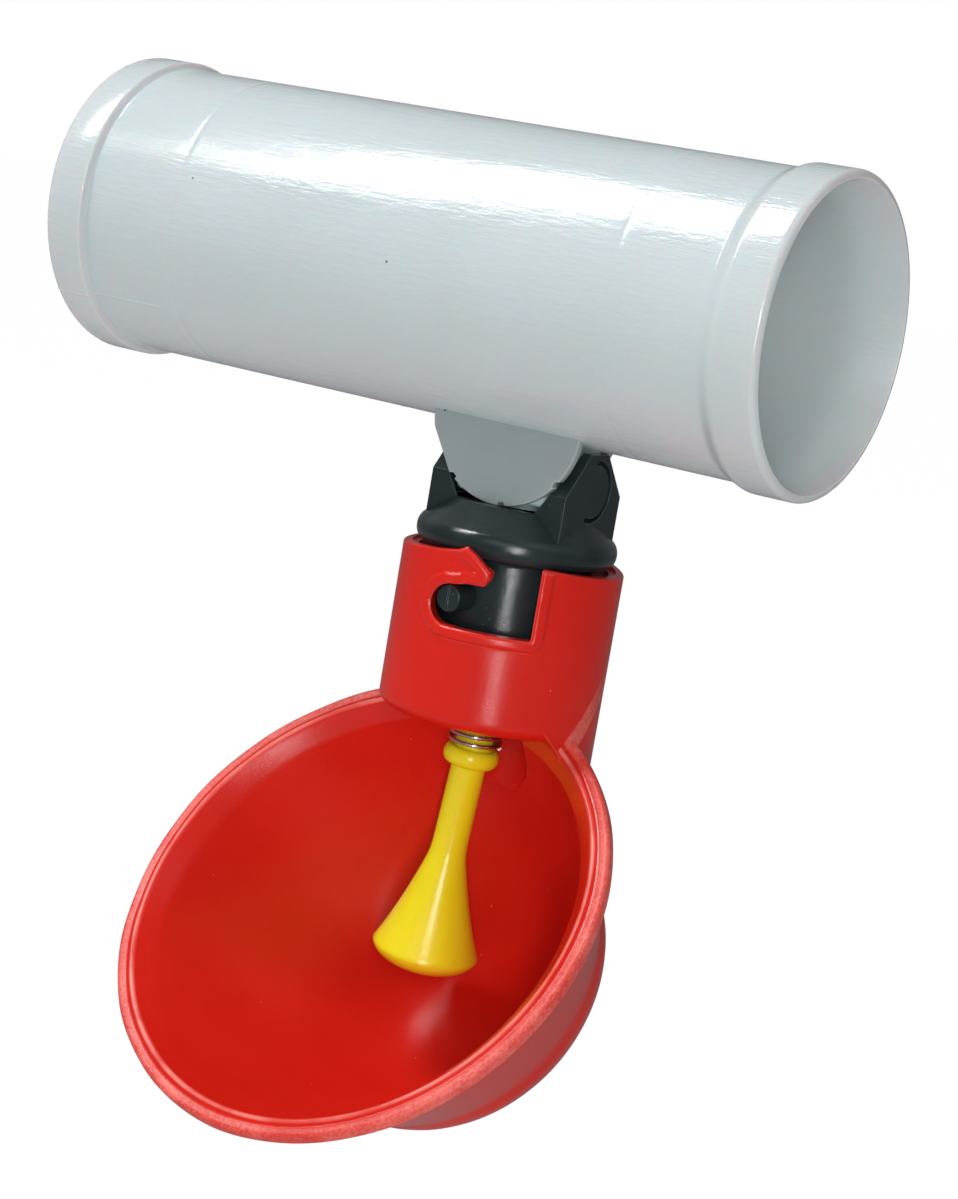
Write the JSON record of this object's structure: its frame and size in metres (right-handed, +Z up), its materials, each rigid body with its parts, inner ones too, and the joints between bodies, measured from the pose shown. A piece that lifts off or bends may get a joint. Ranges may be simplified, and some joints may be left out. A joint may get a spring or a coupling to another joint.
{
  "type": "poultry nipple drinker",
  "caption": "Poultry nipple drinker: a water-line tee carries a clip-on valve with a sprung trigger that hangs in a bayonet drinking cup.",
  "frame": {"origin": "where the valve's upright axis crosses the centreline of the tee", "axes": "+X along the water line towards the short side of the tee, +Z up, the bowl opens towards -Y"},
  "size_m": [0.081, 0.0465, 0.0977],
  "materials": {
    "tee_plastic": "cool white moulded plastic, slightly translucent, glossy",
    "body_plastic": "near-black moulded plastic, satin to glossy",
    "cup_plastic": "red moulded plastic, smooth and glossy inside, frosted along the lip",
    "trigger_plastic": "bright yellow moulded plastic, glossy",
    "steel": "bright drawn stainless wire and turned steel",
    "rubber": "black sealing rubber"
  },
  "bodies": {
    "line_tee": {"tee": "tee_plastic", "nozzle_oring": "rubber", "valve_body": "body_plastic"},
    "cup": {"cup": "cup_plastic"},
    "lift": {"return_spring": "steel"},
    "rock": {"valve_plug": "rubber"},
    "trigger": {"trigger": "trigger_plastic", "stem_cap": "steel"}
  },
  "joints": [
    {"name": "cup_turn", "type": "hinge", "parent": "line_tee", "child": "cup", "pos_m": [0, 0, -0.034], "axis": [0, 0, 1], "range_deg": [-36, 0]},
    {"name": "trigger_lift", "type": "slide", "parent": "line_tee", "child": "lift", "axis": [0, 0, 1], "range_m": [0, 0.0012], "stiffness_N_per_m": 180, "springref_m": -0.0015, "deforming": ["return_spring"]},
    {"name": "trigger_rock_front", "type": "hinge", "parent": "lift", "child": "rock", "pos_m": [0, 0, -0.03284], "axis": [1, 0, 0], "range_deg": [-6, 3], "stiffness_Nm_per_rad": 0.012},
    {"name": "trigger_rock_side", "type": "hinge", "parent": "rock", "child": "trigger", "pos_m": [0, 0, -0.03284], "axis": [0, 1, 0], "range_deg": [-8, 1.8], "stiffness_Nm_per_rad": 0.012}
  ]
}
